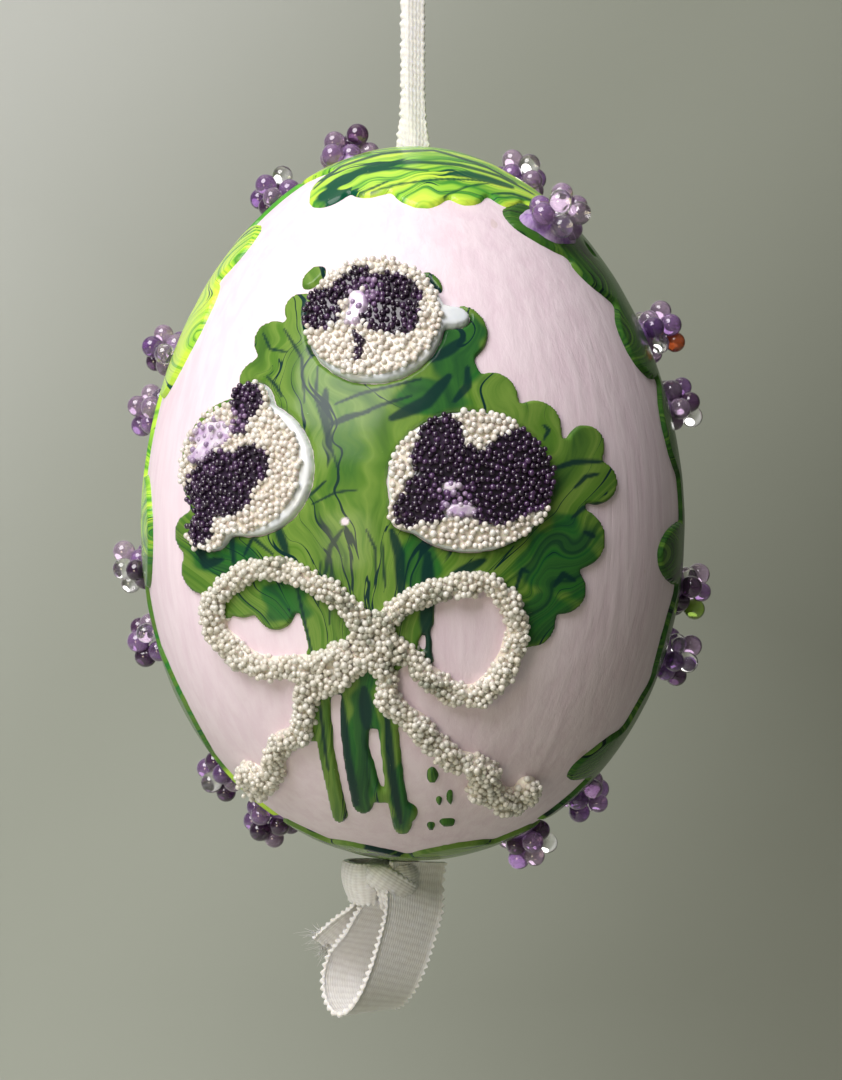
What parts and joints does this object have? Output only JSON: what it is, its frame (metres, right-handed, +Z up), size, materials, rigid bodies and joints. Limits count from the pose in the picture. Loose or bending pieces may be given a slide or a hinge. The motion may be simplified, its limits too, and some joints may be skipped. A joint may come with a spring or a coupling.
{
  "type": "decorated hanging egg",
  "caption": "Blown egg with raised enamel leaves, bead-covered pansies, a beaded bow and rim clusters of glass beads, hung on a knotted ribbon that passes through both ends.",
  "frame": {"origin": "the hanging point, at the inside top of the ribbon's hanging loop", "axes": "+Z up along the ribbon and the egg's long axis, -Y towards the viewer of the bouquet, +X to that viewer's right"},
  "size_m": [0.0522, 0.0466, 0.12],
  "materials": {
    "shell": "matt calcium shell, seen only inside the blow holes",
    "ground": "brushed matt pink-lilac paint",
    "lime_enamel": "glossy marbled lime and green enamel",
    "green_enamel": "glossy marbled mid and dark green enamel",
    "dark_green_enamel": "glossy dark green enamel",
    "white_enamel": "glossy raised white enamel",
    "pale_microbeads": "cream and clear microbeads set in glue",
    "purple_microbeads": "dark purple microbeads set in glue",
    "bow_microbeads": "cream, white and clear microbeads set in glue",
    "cluster_beads": "clear and amethyst glass beads",
    "lilac_glue": "glossy lilac-white glue",
    "ribbon": "white ribbed woven ribbon with beaded edges"
  },
  "bodies": {
    "hanging_loop": {"hanging_loop": "ribbon"},
    "top_knot": {"top_knot": "ribbon"},
    "ribbon": {"ribbon_run": "ribbon"},
    "bottom_knot": {"bottom_knot": "ribbon", "bottom_loop": "ribbon", "ribbon_tail": "ribbon"},
    "egg": {"eggshell": "shell", "ground_coat": "ground", "wreath_crown": "lime_enamel", "wreath_left": "lime_enamel", "wreath_right": "dark_green_enamel", "wreath_base": "lime_enamel", "bouquet_leaves": "green_enamel", "loose_leaf": "green_enamel", "stem_drops": "dark_green_enamel", "top_pansy_disc": "white_enamel", "top_pansy_pale_beads": "pale_microbeads", "top_pansy_dark_beads": "purple_microbeads", "top_pansy_eye": "lilac_glue", "left_pansy_disc": "white_enamel", "left_pansy_pale_beads": "pale_microbeads", "left_pansy_dark_beads": "purple_microbeads", "left_pansy_eye": "lilac_glue", "right_pansy_disc": "white_enamel", "right_pansy_pale_beads": "pale_microbeads", "right_pansy_dark_beads": "purple_microbeads", "right_pansy_eye": "lilac_glue", "bow_left_loop": "bow_microbeads", "bow_right_loop": "bow_microbeads", "bow_knot": "bow_microbeads", "bow_left_tail": "bow_microbeads", "bow_right_tail": "bow_microbeads", "cluster_glue": "lilac_glue", "cluster_left_1": "cluster_beads", "cluster_left_2": "cluster_beads", "cluster_left_3": "cluster_beads", "cluster_left_4": "cluster_beads", "cluster_left_5": "cluster_beads", "cluster_left_6": "cluster_beads", "cluster_left_7": "cluster_beads", "cluster_left_8": "cluster_beads", "cluster_right_1": "cluster_beads", "cluster_right_2": "cluster_beads", "cluster_right_3": "cluster_beads", "cluster_right_4": "cluster_beads", "cluster_right_5": "cluster_beads", "cluster_right_6": "cluster_beads", "cluster_right_7": "cluster_beads", "cluster_right_8": "cluster_beads"}
  },
  "joints": [
    {"name": "swing_fore_aft", "type": "hinge", "parent": "hanging_loop", "child": "top_knot", "pos_m": [0, 0, -0.026], "axis": [1, 0, 0], "range_deg": [-25, 25]},
    {"name": "swing_side", "type": "hinge", "parent": "top_knot", "child": "ribbon", "pos_m": [0, 0, -0.026], "axis": [0, 1, 0], "range_deg": [-25, 25]},
    {"name": "spin", "type": "hinge", "parent": "ribbon", "child": "bottom_knot", "pos_m": [0, 0, -0.106], "axis": [0, 0, 1], "range_deg": [-180, 180]},
    {"name": "lift", "type": "slide", "parent": "bottom_knot", "child": "egg", "axis": [0, 0, 1], "range_m": [0, 0.012]}
  ]
}
